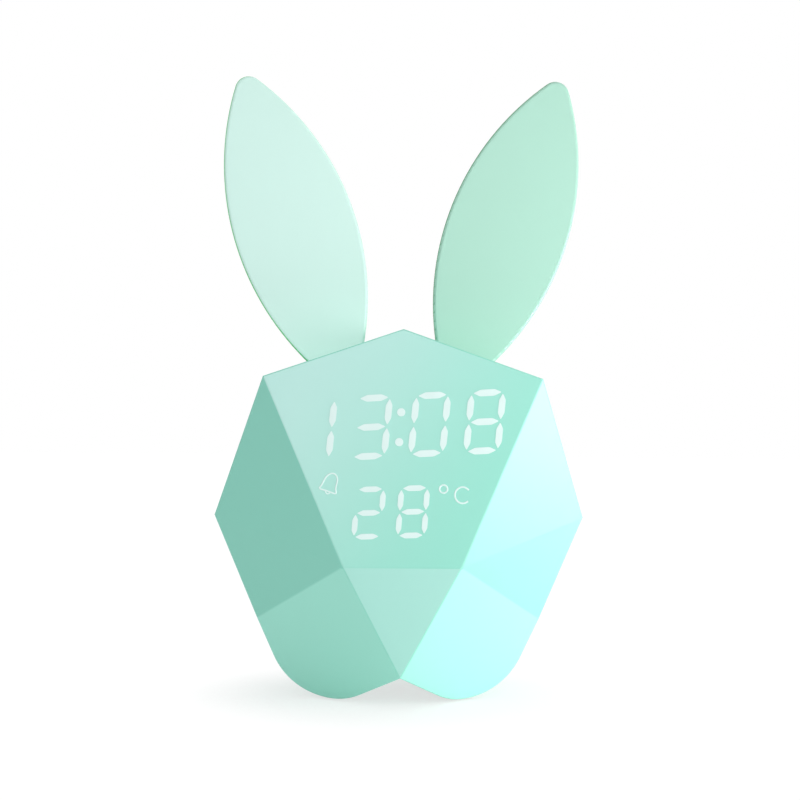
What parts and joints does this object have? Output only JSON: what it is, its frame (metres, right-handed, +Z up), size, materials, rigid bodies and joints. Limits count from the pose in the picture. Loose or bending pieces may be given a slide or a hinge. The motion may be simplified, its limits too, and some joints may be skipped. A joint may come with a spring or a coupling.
{
  "type": "alarm_clock",
  "caption": "Kids alarm clock with night light: a faceted mint rabbit head with two leaf-shaped light-up ears, a glowing time and temperature display, rear keys and a speaker",
  "frame": {"origin": "on the floor, under the middle of the overall box", "axes": "+Z is up, the display faces -Y, +X is to the right of the display"},
  "size_m": [0.1032, 0.066, 0.1758],
  "materials": {
    "mint_shell": "satin mint ABS",
    "mint_ear": "translucent polished PMMA, mint",
    "diffuser_white": "light diffusing film",
    "reflector_white": "white moulded reflector",
    "segment_glow": "milky light-guide resin",
    "board_green": "solder mask over glass laminate",
    "steel": "zinc plated steel",
    "tin_metal": "drawn tinned metal",
    "button_mint": "satin mint ABS, deeper tone",
    "black_plastic": "black moulded nylon",
    "battery_foil": "laminated pouch foil",
    "foam": "closed-cell foam",
    "cone_paper": "pressed paper pulp",
    "magnet_metal": "nickel plated magnet",
    "silicone": "moulded silicone",
    "wire_red": "PVC wire sleeve",
    "wire_grey": "PVC wire sleeve",
    "led_white": "phosphor LED package"
  },
  "bodies": {
    "housing": {"front_shell": "mint_shell", "rear_shell": "mint_shell", "right_ear": "mint_ear", "left_ear": "mint_ear", "diffuser_film": "diffuser_white", "reflector_frame": "reflector_white", "time_segments": "segment_glow", "temperature_segments": "segment_glow", "icon_segments": "segment_glow", "display_board": "board_green", "display_leds": "led_white", "display_screws": "steel", "main_board": "board_green", "tact_switches": "tin_metal", "power_switch_body": "tin_metal", "usb_socket": "tin_metal", "usb_contacts": "black_plastic", "controller_chip": "black_plastic", "clock_crystal": "tin_metal", "tap_sensor": "tin_metal", "thermistor": "black_plastic", "battery_pad": "foam", "battery_cell": "battery_foil", "board_screws": "steel", "speaker_gasket": "foam", "speaker_basket": "tin_metal", "speaker_magnet": "magnet_metal", "speaker_cone": "cone_paper", "speaker_screws": "steel", "right_ear_light_board": "board_green", "left_ear_light_board": "board_green", "ear_leds": "led_white", "ear_light_wires": "wire_grey", "speaker_wires": "wire_red", "battery_wires": "wire_red", "display_wires": "wire_grey", "housing_screws": "steel", "foot_pads": "silicone"},
    "set_key": {"set_button": "button_mint", "set_plunger": "black_plastic"},
    "up_key": {"up_button": "button_mint", "up_plunger": "black_plastic"},
    "down_key": {"down_button": "button_mint", "down_plunger": "black_plastic"},
    "light_key": {"light_button": "button_mint", "light_plunger": "black_plastic"},
    "power_slider": {"power_switch_slider": "button_mint"}
  },
  "joints": [
    {"name": "set_press", "type": "slide", "parent": "housing", "child": "set_key", "axis": [0, -1, 0], "range_m": [0, 0.0006], "stiffness_N_per_m": 1200},
    {"name": "up_press", "type": "slide", "parent": "housing", "child": "up_key", "axis": [0, -1, 0], "range_m": [0, 0.0006], "stiffness_N_per_m": 1200},
    {"name": "down_press", "type": "slide", "parent": "housing", "child": "down_key", "axis": [0, -1, 0], "range_m": [0, 0.0006], "stiffness_N_per_m": 1200},
    {"name": "light_press", "type": "slide", "parent": "housing", "child": "light_key", "axis": [0, -1, 0], "range_m": [0, 0.0006], "stiffness_N_per_m": 1200},
    {"name": "power_slide", "type": "slide", "parent": "housing", "child": "power_slider", "axis": [1, 0, 0], "range_m": [0, 0.002]}
  ]
}
